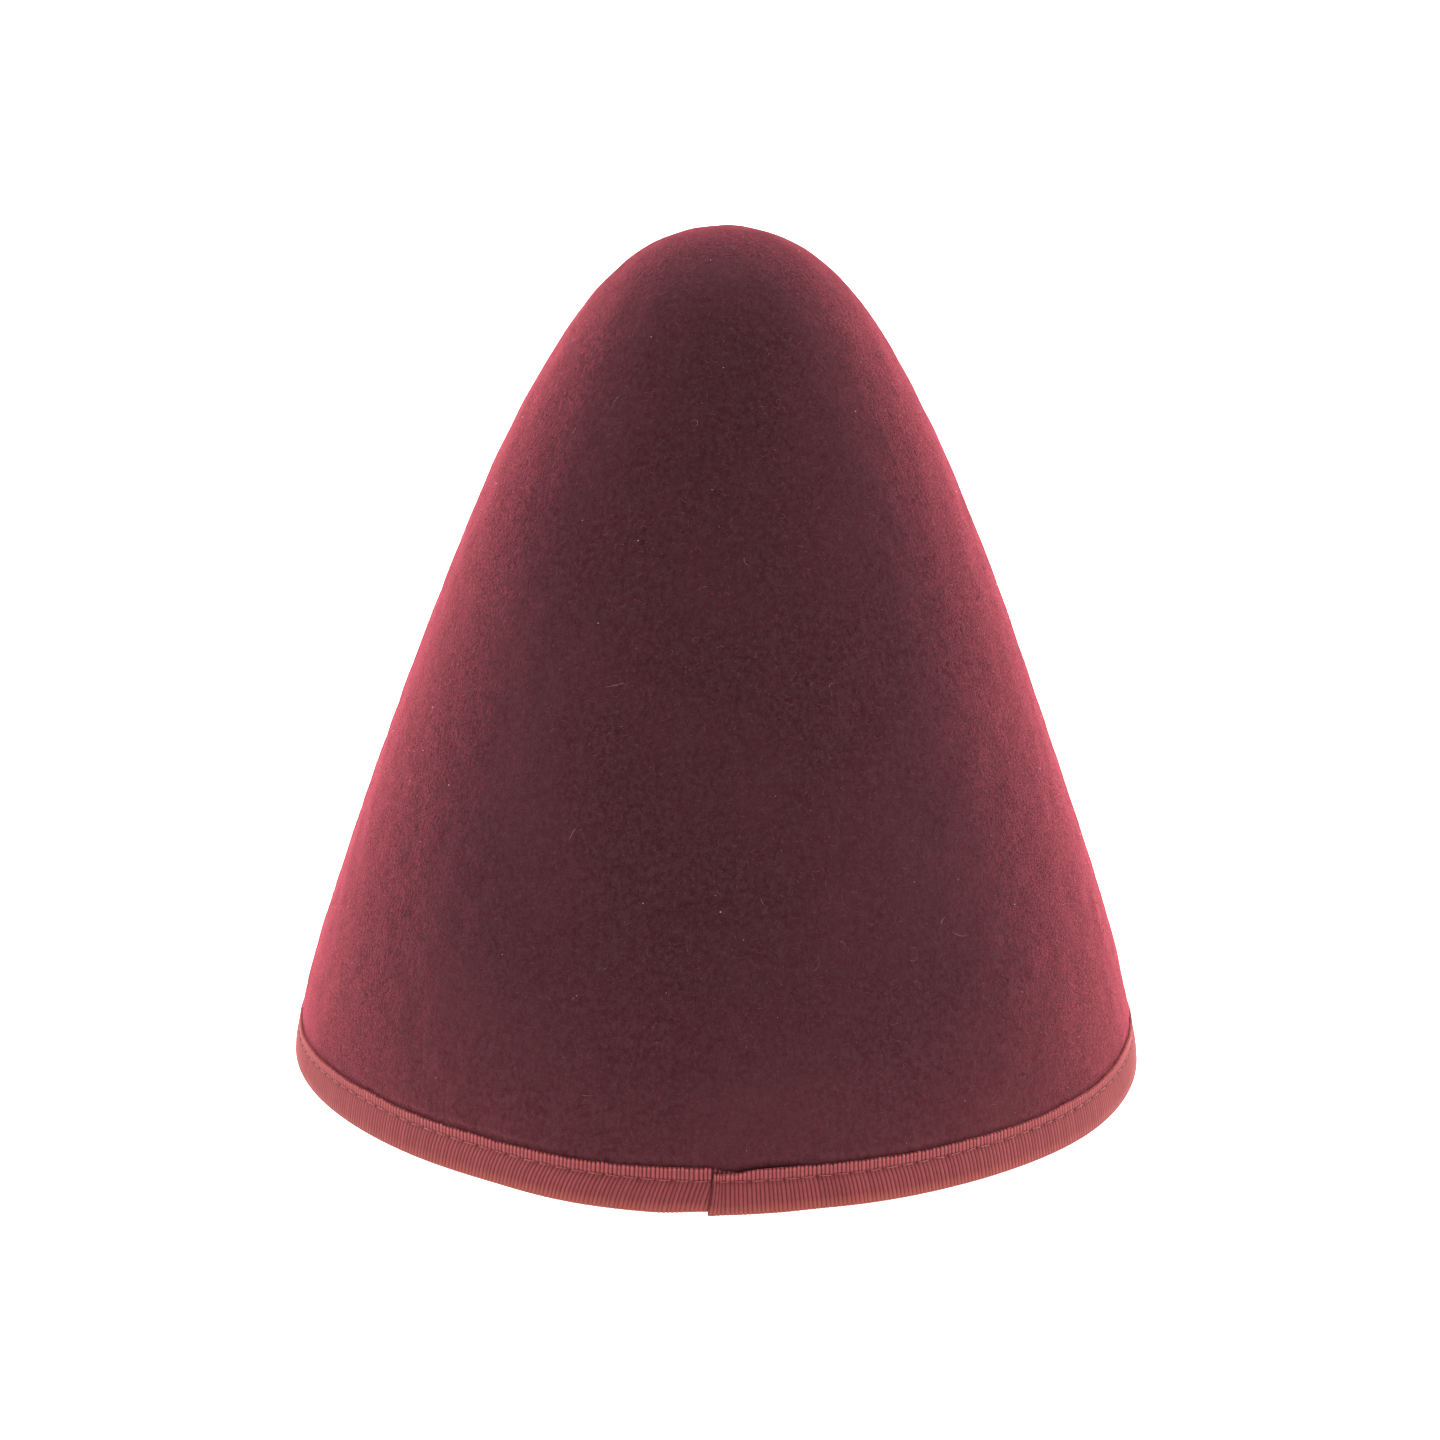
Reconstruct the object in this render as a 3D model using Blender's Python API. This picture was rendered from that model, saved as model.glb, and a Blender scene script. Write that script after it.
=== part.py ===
# Clown cone hat: a seamless felt cone with a grosgrain ribbon folded over its lower edge.
# Metres, +Z up. The hat stands on the floor at z = 0, its axis is the Z axis, its front faces -Y.

import bpy
import numpy as np

# Driving dimensions. The head's circumference is measured inside the folded ribbon.
headCircumference = 0.575
hatHeight = 0.1919
feltThickness = 0.0024
ribbonThickness = 0.001
ribbonHeight = 0.0097
layerGap = 0.0003

# The stitched ribbon pinches the felt's two faces together, and more where the ribbon lies double.
edgePinch = 0.0004
lapPinch = 0.0003
pinchReach = 0.001
pinchStart = 0.0002

feltRounding = 0.0004
foldRounding = 0.0012
foldInnerRounding = 0.0005

# The felt's outer profile, from the tip down. drop is the square root of the fall below the tip as a share
# of the hat's height, and radius is the outer radius as a share of the radius at the floor.
feltProfile = [
    {"drop": 0.00, "radius": 0.000},
    {"drop": 0.12, "radius": 0.139},
    {"drop": 0.25, "radius": 0.273},
    {"drop": 0.40, "radius": 0.411},
    {"drop": 0.55, "radius": 0.552},
    {"drop": 0.70, "radius": 0.698},
    {"drop": 0.80, "radius": 0.804},
    {"drop": 0.88, "radius": 0.894},
    {"drop": 0.95, "radius": 0.966},
    {"drop": 1.00, "radius": 1.000},
]
profileRows = 16

# The ribbon's lap. Angles are seen from above, turning left from +X, so that the front is at -90 degrees.
lapEndAngle = -90.9
lapLength = 0.014
lapBlend = 0.012
lapTopDrop = 0.0012
lapEndSlant = 0.0014
slantReach = 0.005

# Spacing of the sections round the hat, and the least bend that is shaded as an edge, in degrees
plainStep = 4.5
lapStep = 1.7
edgeBend = 50

feltCornerPoints = 2
foldCornerPoints = 3

feltFinish = {"colour": (0.062, 0.021, 0.026, 1.0), "roughness": 0.95}
ribbonFinish = {"colour": (0.262, 0.062, 0.063, 1.0), "roughness": 0.7}

layerStep = ribbonThickness + layerGap
rimRadius = headCircumference / (2 * np.pi) + layerStep - edgePinch + feltThickness
turnPerMetre = np.degrees(1 / rimRadius)
lapTurn = lapLength * turnPerMetre
blendTurn = lapBlend * turnPerMetre
lapStartAngle = lapEndAngle + lapTurn


def smoothRise(value):
    """0 to 1 as value goes from 0 to 1, level at both ends."""
    value = np.clip(value, 0, 1)
    return value * value * (3 - 2 * value)


def clearScene():
    for item in list(bpy.data.objects):
        bpy.data.objects.remove(item, do_unlink=True)


def makeMaterial(name, finish):
    material = bpy.data.materials.new(name)
    material.use_nodes = True
    shader = material.node_tree.nodes["Principled BSDF"]
    shader.inputs["Base Color"].default_value = finish["colour"]
    shader.inputs["Roughness"].default_value = finish["roughness"]
    shader.inputs["Metallic"].default_value = 0.0
    material.diffuse_color = finish["colour"]
    return material


def makeObject(name, points, faces, material):
    mesh = bpy.data.meshes.new(name)
    mesh.from_pydata(points.tolist(), [], faces)
    mesh.materials.append(material)
    mesh.shade_smooth()
    mesh.set_sharp_from_angle(angle=np.radians(edgeBend))
    item = bpy.data.objects.new(name, mesh)
    bpy.context.scene.collection.objects.link(item)
    return item


def naturalSpline(knots, values, at):
    """The smooth curve through the values at the knots, with no bend at its two ends."""
    count = len(knots)
    gap = np.diff(knots)
    slope = np.diff(values) / gap
    matrix = np.eye(count)
    right = np.zeros(count)
    for i in range(1, count - 1):
        matrix[i, i - 1 : i + 2] = gap[i - 1], 2 * (gap[i - 1] + gap[i]), gap[i]
        right[i] = 6 * (slope[i] - slope[i - 1])
    bend = np.linalg.solve(matrix, right)
    i = np.clip(np.searchsorted(knots, at) - 1, 0, count - 2)
    before = at - knots[i]
    after = knots[i + 1] - at
    cubes = (bend[i] * after**3 + bend[i + 1] * before**3) / (6 * gap[i])
    lines = (values[i] / gap[i] - bend[i] * gap[i] / 6) * after
    lines += (values[i + 1] / gap[i] - bend[i + 1] * gap[i] / 6) * before
    return cubes + lines


dropKnots = np.array([row["drop"] for row in feltProfile])
radiusKnots = np.array([row["radius"] for row in feltProfile]) * rimRadius


def feltSurface(height, outward):
    """Radius and height of the point that lies outward from the felt's outer face at the given height."""
    height = np.asarray(height, float)
    nextStep = 1e-6
    drop = np.sqrt(np.clip(1 - height / hatHeight, 0, None))
    radius = naturalSpline(dropKnots, radiusKnots, drop)
    radiusRate = (naturalSpline(dropKnots, radiusKnots, drop + nextStep) - radius) / nextStep
    heightRate = -2 * hatHeight * drop
    length = np.hypot(radiusRate, heightRate)
    normalRadius = -heightRate / length
    normalHeight = radiusRate / length
    return np.stack([radius + outward * normalRadius, height + outward * normalHeight], -1)


def roundCorner(centre, rounding, first, last, count):
    """Points on a quarter turn about centre, from the first angle to the last, in degrees."""
    turn = np.radians(np.linspace(first, last, count))
    return np.stack([centre[0] + rounding * np.cos(turn), centre[1] + rounding * np.sin(turn)], -1)


def edgeLine(outset, topHeight, bottom, rounding, cornerPoints, legShares):
    """A U round the felt's edge, from its top outside to its top inside, outset from the felt's two faces."""
    legHeights = topHeight - np.array(legShares) * (topHeight - bottom)
    outsideLeg = feltSurface(legHeights, outset)
    insideLeg = feltSurface(legHeights, -feltThickness - outset)
    cornerHeight = bottom + rounding
    outsideFoot = feltSurface(cornerHeight, outset)
    insideFoot = feltSurface(cornerHeight, -feltThickness - outset)
    outsideCorner = roundCorner(
        (outsideFoot[0] - rounding, cornerHeight), rounding, 0, -90, cornerPoints
    )
    insideCorner = roundCorner(
        (insideFoot[0] + rounding, cornerHeight), rounding, -90, -180, cornerPoints
    )
    return np.concatenate([outsideLeg, outsideCorner, insideCorner, insideLeg[::-1]])


def lapLevel(angle):
    """1 where the ribbon lies double, easing to 0 on both sides of it."""
    right = smoothRise((lapStartAngle + blendTurn - angle) / blendTurn)
    left = smoothRise((angle - lapEndAngle + blendTurn) / blendTurn)
    return right * left


def sectionAngles():
    """Angles of the sections once round the hat, turning left, close together at the lap."""
    lapSections = int(np.ceil((lapTurn + 2 * blendTurn) / lapStep))
    first = lapEndAngle - blendTurn
    last = lapStartAngle + blendTurn
    lap = np.linspace(first, last, lapSections + 1)
    lap[np.argmin(abs(lap - lapStartAngle))] = lapStartAngle
    lap[np.argmin(abs(lap - lapEndAngle))] = lapEndAngle
    plainSections = int(np.ceil((360 - (last - first)) / plainStep))
    plain = np.linspace(last, first + 360, plainSections + 1)
    return np.concatenate([lap[:-1], plain[:-1]])


def turned(section, angle):
    """A section's radii and heights as points at an angle round the Z axis."""
    turn = np.radians(angle) * np.ones(len(section))
    return np.stack([section[:, 0] * np.cos(turn), section[:, 0] * np.sin(turn), section[:, 1]], -1)


def feltSection(level):
    """The felt wall cut from tip to tip: down the outer face, round the lower edge and up the inner face."""
    plainBottom = ribbonHeight + pinchReach
    drop = np.linspace(0, 1, profileRows + 1)[1:]
    heights = hatHeight * (1 - drop**2)
    heights = np.append(heights[heights > plainBottom], plainBottom)
    outside = feltSurface(heights, 0.0)
    inside = feltSurface(heights, -feltThickness)
    pinch = edgePinch + lapPinch * level
    bottom = layerStep * (1 + level)
    edge = edgeLine(-pinch, ribbonHeight + pinchStart, bottom, feltRounding, feltCornerPoints, [0.0])
    return np.concatenate([outside, edge, inside[::-1]])


def buildFeltCone():
    angles = sectionAngles()
    rings = np.array([turned(feltSection(lapLevel(angle)), angle) for angle in angles])
    turns, rows = rings.shape[:2]
    tip = feltSurface(hatHeight, 0.0)[1]
    poles = np.array([[0, 0, tip], [0, 0, tip - feltThickness]])
    points = np.concatenate([rings.reshape(-1, 3), poles])
    outerPole = turns * rows
    innerPole = outerPole + 1
    faces = []
    for i in range(turns):
        here = i * rows
        there = (i + 1) % turns * rows
        faces.append((outerPole, here, there))
        faces.append((innerPole, there + rows - 1, here + rows - 1))
        faces.extend((here + j, here + j + 1, there + j + 1, there + j) for j in range(rows - 1))
    felt = makeMaterial("felt", feltFinish)
    return makeObject("felt_cone", points, faces, felt)


def ribbonSection(level, onTop, topHeight):
    """The folded ribbon cut across: its outer face as one U and its inner face as a second U."""
    raised = layerStep * level
    outset = layerGap - edgePinch - lapPinch * level + raised * onTop
    bottom = raised * (1 - onTop)
    shape = {"cornerPoints": foldCornerPoints, "legShares": [0.0, 0.5]}
    outer = edgeLine(outset + ribbonThickness, topHeight, bottom, foldRounding, **shape)
    inner = edgeLine(outset, topHeight, bottom + ribbonThickness, foldInnerRounding, **shape)
    return outer, inner


def buildRimBinding():
    """The strip starts under the lap, runs to the left all the way round and ends on top of its own start."""
    once = np.sort((lapStartAngle - sectionAngles()) % 360)
    lapped = once[(once < lapTurn) | np.isclose(once, lapTurn)]
    travel = np.concatenate([once, 360 + lapped])
    outers = []
    inners = []
    for way in travel:
        angle = lapStartAngle - way
        onTop = bool(way > 180)
        level = lapLevel(angle + 360 * onTop)
        left = np.radians(travel[-1] - way) * rimRadius
        topHeight = ribbonHeight - lapTopDrop * smoothRise(1 - left / lapLength)
        outer, inner = ribbonSection(level, onTop, topHeight)
        for section, rings in ((outer, outers), (inner, inners)):
            lean = lapEndSlant * smoothRise(1 - left / slantReach) * section[:, 1] / ribbonHeight
            rings.append(turned(section, angle + np.degrees(lean / rimRadius)))
    outers = np.array(outers)
    inners = np.array(inners)
    stations, rows = outers.shape[:2]
    points = np.concatenate([outers.reshape(-1, 3), inners.reshape(-1, 3)])
    under = stations * rows
    faces = []
    for i in range(stations - 1):
        here = i * rows
        there = here + rows
        for j in range(rows - 1):
            faces.append((here + j, there + j, there + j + 1, here + j + 1))
            faces.append((under + here + j, under + here + j + 1, under + there + j + 1, under + there + j))
        for j, side in ((0, 1), (rows - 1, -1)):
            face = (here + j, under + here + j, under + there + j, there + j)
            faces.append(face[::side])
    for start, side in ((0, 1), ((stations - 1) * rows, -1)):
        for j in range(start, start + rows - 1):
            face = (j, j + 1, under + j + 1, under + j)
            faces.append(face[::side])
    grosgrain = makeMaterial("grosgrain", ribbonFinish)
    return makeObject("rim_binding", points, faces, grosgrain)


clearScene()
buildFeltCone()
buildRimBinding()
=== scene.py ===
import bpy
import numpy as np
from mathutils import Matrix, Vector


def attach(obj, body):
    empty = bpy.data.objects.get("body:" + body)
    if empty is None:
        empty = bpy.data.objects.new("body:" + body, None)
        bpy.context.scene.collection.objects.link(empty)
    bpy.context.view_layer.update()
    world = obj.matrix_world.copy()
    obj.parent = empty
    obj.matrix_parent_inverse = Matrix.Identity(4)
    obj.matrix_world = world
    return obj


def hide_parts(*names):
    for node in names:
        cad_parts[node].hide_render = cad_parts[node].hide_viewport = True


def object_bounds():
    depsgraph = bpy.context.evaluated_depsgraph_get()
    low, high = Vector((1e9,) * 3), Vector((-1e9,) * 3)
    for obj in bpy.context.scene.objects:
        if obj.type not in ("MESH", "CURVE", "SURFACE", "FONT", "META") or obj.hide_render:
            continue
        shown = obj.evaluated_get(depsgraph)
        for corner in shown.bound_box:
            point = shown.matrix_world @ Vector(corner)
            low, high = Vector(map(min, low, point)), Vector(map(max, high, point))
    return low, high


# A felt cone hat standing on its ribbon-bound rim. Metres, +Z up, the front faces -Y.

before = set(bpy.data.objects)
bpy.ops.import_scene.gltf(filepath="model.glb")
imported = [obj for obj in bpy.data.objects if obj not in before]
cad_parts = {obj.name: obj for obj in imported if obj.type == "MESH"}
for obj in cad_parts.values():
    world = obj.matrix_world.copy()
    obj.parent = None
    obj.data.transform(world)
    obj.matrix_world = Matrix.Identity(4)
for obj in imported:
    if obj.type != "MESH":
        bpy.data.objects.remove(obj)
cadLow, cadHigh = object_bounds()
print("frame loaded")

# The hat's form, the same as the solids have. In profile, drop is the square root of the fall below the tip
# as a share of the height, and radius is the outer radius as a share of the radius at the floor.
hat = {
    "height": cadHigh.z - cadLow.z,
    "rimRadius": 0.09481,
    "feltThickness": 0.0024,
    "profile": [
        {"drop": 0.00, "radius": 0.000},
        {"drop": 0.12, "radius": 0.139},
        {"drop": 0.25, "radius": 0.273},
        {"drop": 0.40, "radius": 0.411},
        {"drop": 0.55, "radius": 0.552},
        {"drop": 0.70, "radius": 0.698},
        {"drop": 0.80, "radius": 0.804},
        {"drop": 0.88, "radius": 0.894},
        {"drop": 0.95, "radius": 0.966},
        {"drop": 1.00, "radius": 1.000},
    ],
}

# The ribbon's lap on the front, in degrees seen from above and metres along the rim. The end on top hangs
# lower by topDrop: firstShare of it comes over firstReach, from the share firstFrom of dropReach before
# the end, and the rest over restReach, from dropReach before the end. The start under it is lower by
# startDrop as soon as it is hidden, and sinks on by hiddenDrop over sinkReach.
lap = {
    "endAngle": -90.9,
    "length": 0.014,
    "blend": 0.012,
    "topDrop": 0.00085,
    "dropReach": 0.0145,
    "firstShare": 0.45,
    "firstFrom": 0.6,
    "firstReach": 0.0022,
    "restReach": 0.008,
    "startDrop": 0.0006,
    "startEase": 0.0008,
    "startReach": 0.0012,
    "hiddenDrop": 0.0009,
    "sinkReach": 0.006,
    "topRise": 0.0004,
    "riseReach": 0.03,
    "liftReach": 0.002,
}
turnPerMetre = np.degrees(1 / hat["rimRadius"])
lapStartAngle = lap["endAngle"] + lap["length"] * turnPerMetre
stripLength = 2 * np.pi * hat["rimRadius"] + lap["length"]


def smoothRise(value):
    # 0 to 1 as the value goes from 0 to 1, level at both ends: three times its square less twice its cube
    value = np.clip(value, 0, 1)
    return value * value * (3 - 2 * value)


def smoothCurve(knots, values, at):
    # the smooth cubic through the values at the knots, with no bend at its two ends
    knots, values, at = (np.asarray(x, float) for x in (knots, values, at))
    gap = np.diff(knots)
    slope = np.diff(values) / gap
    count = len(knots)
    matrix = np.eye(count)
    right = np.zeros(count)
    for i in range(1, count - 1):
        matrix[i, i - 1 : i + 2] = gap[i - 1], 2 * (gap[i - 1] + gap[i]), gap[i]
        right[i] = 6 * (slope[i] - slope[i - 1])
    bend = np.linalg.solve(matrix, right)
    i = np.clip(np.searchsorted(knots, at) - 1, 0, count - 2)
    before, after = at - knots[i], knots[i + 1] - at
    curve = (bend[i] * after**3 + bend[i + 1] * before**3) / (6 * gap[i])
    curve += (values[i] / gap[i] - bend[i] * gap[i] / 6) * after
    curve += (values[i + 1] / gap[i] - bend[i + 1] * gap[i] / 6) * before
    return curve


def feltSection(height, outward):
    # radius and height of the point that lies outward, square to the felt's outer face, from a height on it
    knots = [row["drop"] for row in hat["profile"]]
    radii = [row["radius"] * hat["rimRadius"] for row in hat["profile"]]
    nextStep = 1e-6
    drop = np.sqrt(np.clip(1 - height / hat["height"], 0, None))
    radius = smoothCurve(knots, radii, drop)
    radiusRate = (smoothCurve(knots, radii, drop + nextStep) - radius) / nextStep
    heightRate = -2 * hat["height"] * drop
    length = np.hypot(radiusRate, heightRate)
    return radius - outward * heightRate / length, height + outward * radiusRate / length


def lapLevel(angle):
    # 1 where the ribbon lies double, easing to 0 on both sides: a rise on the right times one on the left
    blendTurn = lap["blend"] * turnPerMetre
    right = smoothRise((lapStartAngle + blendTurn - angle) / blendTurn)
    left = smoothRise((angle - lap["endAngle"] + blendTurn) / blendTurn)
    return right * left


def round3d(radius, turn, height):
    # points at a radius, a turn in degrees and a height: the radius times the turn's cosine and sine
    turn = np.radians(turn)
    return np.stack([radius * np.cos(turn), radius * np.sin(turn), height + 0 * turn], -1)


# Soft felt is never quite round: how far the rim stands out from its circle, in metres, by the degrees
# round the hat from the front, left negative.
rimStray = [
    {"turn": -180, "outward": 0.0002},
    {"turn": -130, "outward": -0.0003},
    {"turn": -90, "outward": 0.0005},
    {"turn": -72, "outward": -0.0002},
    {"turn": -54, "outward": -0.0015},
    {"turn": -40, "outward": -0.0019},
    {"turn": -31, "outward": -0.0016},
    {"turn": -25, "outward": -0.0005},
    {"turn": -19, "outward": 0.0005},
    {"turn": -10, "outward": 0.0011},
    {"turn": 0, "outward": 0.0011},
    {"turn": 9, "outward": 0.0001},
    {"turn": 20, "outward": 0.0},
    {"turn": 32, "outward": -0.0001},
    {"turn": 45, "outward": 0.0003},
    {"turn": 58, "outward": 0.0010},
    {"turn": 75, "outward": 0.0008},
    {"turn": 90, "outward": 0.0004},
    {"turn": 130, "outward": -0.0004},
    {"turn": 180, "outward": 0.0002},
]
settling = {
    "rimReach": 0.036,
    "rimSwell": 0.00047,
    "leftSwell": 0.00015,
    "leftFoot": 0.03,
    "leftTop": 0.19,
    "leftFade": 0.08,
    "leastRadius": 0.01,
    "stretch": 0.0014,
}


def settle(points):
    # the same small unevenness for every piece: each point moves out from the axis by the rim's stray at
    # its turn, fading with height, the left side swells a little, and every height grows by stretch
    turn = np.degrees(np.arctan2(points[..., 0], -points[..., 1]))
    stray = smoothCurve([row["turn"] for row in rimStray], [row["outward"] for row in rimStray], turn)
    height = points[..., 2]
    low = 1 - smoothRise(height / settling["rimReach"])
    foot = smoothRise(height / settling["leftFoot"])
    top = smoothRise((settling["leftTop"] - height) / settling["leftFade"])
    left = foot * top * np.clip(-np.sin(np.radians(turn)), 0, 1)
    outward = (stray + settling["rimSwell"]) * low + settling["leftSwell"] * left
    radius = np.hypot(points[..., 0], points[..., 1])
    grown = points * (1 + outward / np.maximum(radius, settling["leastRadius"]))[..., None]
    grown[..., 2] = height * (1 + settling["stretch"])
    return grown


def softNoise(points, wavelength, seed, waves=28):
    # smooth noise about 0 with a spread of about 1: a sum of plane waves in random directions
    draw = np.random.default_rng(seed)
    direction = draw.normal(size=(waves, 3))
    direction /= np.linalg.norm(direction, axis=1)[:, None]
    number = 2 * np.pi / (wavelength * draw.uniform(0.7, 1.4, waves))
    phase = draw.uniform(0, 2 * np.pi, waves)
    total = np.zeros(points.shape[:-1])
    for k in range(waves):
        total += np.cos(points @ (direction[k] * number[k]) + phase[k])
    return total * np.sqrt(2 / waves)


def gridFaces(columns, rows, wrapColumns=False, wrapRows=False):
    # quads of a grid of points whose columns run one after another
    i = np.arange(columns if wrapColumns else columns - 1)[:, None]
    j = np.arange(rows if wrapRows else rows - 1)[None, :]
    nextI, nextJ = (i + 1) % columns, (j + 1) % rows
    quads = [i * rows + j, i * rows + nextJ, nextI * rows + nextJ, nextI * rows + j]
    return np.stack(np.broadcast_arrays(*quads), -1).reshape(-1, 4)


def makePiece(name, points, faceSets, material, uv=None, masks=None):
    # one mesh of points and sets of faces with equal corners, and a value for each point in each mask
    mesh = bpy.data.meshes.new(name)
    corners = np.concatenate([faces.reshape(-1) for faces in faceSets]).astype(np.int32)
    sizes = np.concatenate([np.full(len(faces), faces.shape[1]) for faces in faceSets])
    starts = np.concatenate([[0], np.cumsum(sizes)[:-1]]).astype(np.int32)
    mesh.vertices.add(len(points))
    mesh.vertices.foreach_set("co", points.astype(np.float32).ravel())
    mesh.loops.add(len(corners))
    mesh.loops.foreach_set("vertex_index", corners)
    mesh.polygons.add(len(sizes))
    mesh.polygons.foreach_set("loop_start", starts)
    mesh.polygons.foreach_set("use_smooth", sizes <= 4)
    mesh.update(calc_edges=True)
    if uv is not None:
        layer = mesh.uv_layers.new(name="cloth")
        layer.uv.foreach_set("vector", uv[corners].astype(np.float32).ravel())
    for maskName, values in (masks or {}).items():
        mask = mesh.attributes.new(maskName, "FLOAT", "POINT")
        mask.data.foreach_set("value", values.astype(np.float32).ravel())
    mesh.materials.append(material)
    item = bpy.data.objects.new(name, mesh)
    bpy.context.scene.collection.objects.link(item)
    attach(item, "root")
    print(name, int((sizes - 2).sum()), "triangles")
    return item


# Materials

def addNode(tree, kind, values=None, **settings):
    # a node whose inputs are set to values or joined to the sockets given
    node = tree.nodes.new(kind)
    for key, value in settings.items():
        setattr(node, key, value)
    for key, value in (values or {}).items():
        if isinstance(value, bpy.types.NodeSocket):
            tree.links.new(value, node.inputs[key])
        else:
            node.inputs[key].default_value = value
    return node


def calc(tree, operation, first, second=0.0, third=0.0):
    # the result of one operation on up to three sockets or numbers
    values = {0: first, 1: second, 2: third}
    return addNode(tree, "ShaderNodeMath", values, operation=operation).outputs[0]


def between(tree, value, low, high, toLow=0.0, toHigh=1.0):
    # the value's place between low and high, carried over to toLow and toHigh and held between them
    values = {"Value": value, "From Min": low, "From Max": high, "To Min": toLow, "To Max": toHigh}
    return addNode(tree, "ShaderNodeMapRange", values).outputs[0]


def mixColour(tree, share, first, second, blend="MIX"):
    # the first colour where the share is 0 and the second, or its blend with the first, where it is 1
    node = addNode(tree, "ShaderNodeMix", {"Factor": share}, data_type="RGBA", blend_type=blend)
    for socket, value in ((node.inputs[6], first), (node.inputs[7], second)):
        if isinstance(value, bpy.types.NodeSocket):
            tree.links.new(value, socket)
        else:
            socket.default_value = (*value, 1.0)
    return node.outputs[2]


def startMaterial(name, shaderValues):
    # a new material with constants on its shader
    material = bpy.data.materials.new(name)
    material.use_nodes = True
    tree = material.node_tree
    shader = tree.nodes["Principled BSDF"]
    for key, value in shaderValues.items():
        shader.inputs[key].default_value = value
    return material, tree, shader


def makeFibreGroup():
    # curly fibres and a soft mottle: thin lines where a twisted noise passes its middle value
    tree = bpy.data.node_groups.new("woolFibres", "ShaderNodeTree")
    face = tree.interface
    face.new_socket("Vector", in_out="INPUT", socket_type="NodeSocketVector")
    for name, value in (("Scale", 600.0), ("Twist", 2.0), ("Line Width", 0.03)):
        face.new_socket(name, in_out="INPUT", socket_type="NodeSocketFloat").default_value = value
    for name in ("Fibres", "Mottle"):
        face.new_socket(name, in_out="OUTPUT", socket_type="NodeSocketFloat")
    start = addNode(tree, "NodeGroupInput").outputs
    lines = []
    for share, detail in ((1.0, 2.0), (1.7, 1.0)):
        scale = calc(tree, "MULTIPLY", start["Scale"], share)
        noise = addNode(tree, "ShaderNodeTexNoise", {
            "Vector": start["Vector"], "Scale": scale, "Detail": detail,
            "Roughness": 0.5, "Distortion": start["Twist"],
        })
        away = calc(tree, "ABSOLUTE", calc(tree, "SUBTRACT", noise.outputs["Fac"], 0.5))
        lines.append(between(tree, away, start["Line Width"], 0.0))
    fibres = calc(tree, "MAXIMUM", lines[0], calc(tree, "MULTIPLY", lines[1], 0.7))
    mottle = addNode(tree, "ShaderNodeTexNoise", {
        "Vector": start["Vector"], "Scale": calc(tree, "MULTIPLY", start["Scale"], 1.5),
        "Detail": 4.0, "Roughness": 0.7,
    }).outputs["Fac"]
    addNode(tree, "NodeGroupOutput", {"Fibres": fibres, "Mottle": mottle})
    return tree


fibreGroup = makeFibreGroup()

felt = {
    "colour": (0.0495, 0.0178, 0.0228),
    "darkColour": (0.0330, 0.0070, 0.0104),
    "fibreColour": (0.0830, 0.0470, 0.0540),
    "dryColour": (0.0555, 0.0168, 0.0204),
    "dryShare": 0.45,
    # painted light from below, lighter just above the ribbon: each colour's gain, its share and the heights
    # it fades over
    "rimLightGain": (1.60, 1.36, 1.28),
    "rimLightShare": 0.75,
    "rimLightFade": (0.048, 0.014),
    "sheenTint": (1.0, 0.165, 0.225, 1.0),
    # the parts of each noise, which runs from 0 to 1, that its effect grows over
    "mottleRange": (0.37, 0.63),
    "cloudRange": (0.40, 0.66),
    "grainRange": (0.35, 0.7),
    "fibreShares": (0.1, 0.75),
    "combing": 0.78,
    "fibreScale": 620.0,
    "fibreTwist": 2.6,
    "fibreWidth": 0.035,
    "cloudScale": 34.0,
    "grainScale": 2100.0,
    "fibreRelief": 0.5,
    "grainRelief": 0.8,
    "relief": 0.00026,
    "columns": 480,
    "outerRows": 132,
    "outerCrowding": 1.35,
    "innerRows": 34,
    "innerCrowding": 1.6,
    # the outer face has closer rows where it is pressed in at the ribbon's top edge
    "fineFrom": 0.0130,
    "fineHeights": [
        0.0125, 0.0120, 0.0116, 0.0112, 0.0108, 0.0104, 0.0100,
        0.0096, 0.0090, 0.0084, 0.0078, 0.0055, 0.0035,
    ],
    "pressReach": 0.0022,
    "pressEase": 0.8,
    "cutReach": (0.006, 0.001),
    "edgeRounding": 0.0004,
    "tipRise": 0.00001,
    "swell": 0.00006,
    "swellLength": 0.055,
    "unevenness": 0.00005,
    "unevenLength": 0.009,
}


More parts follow.
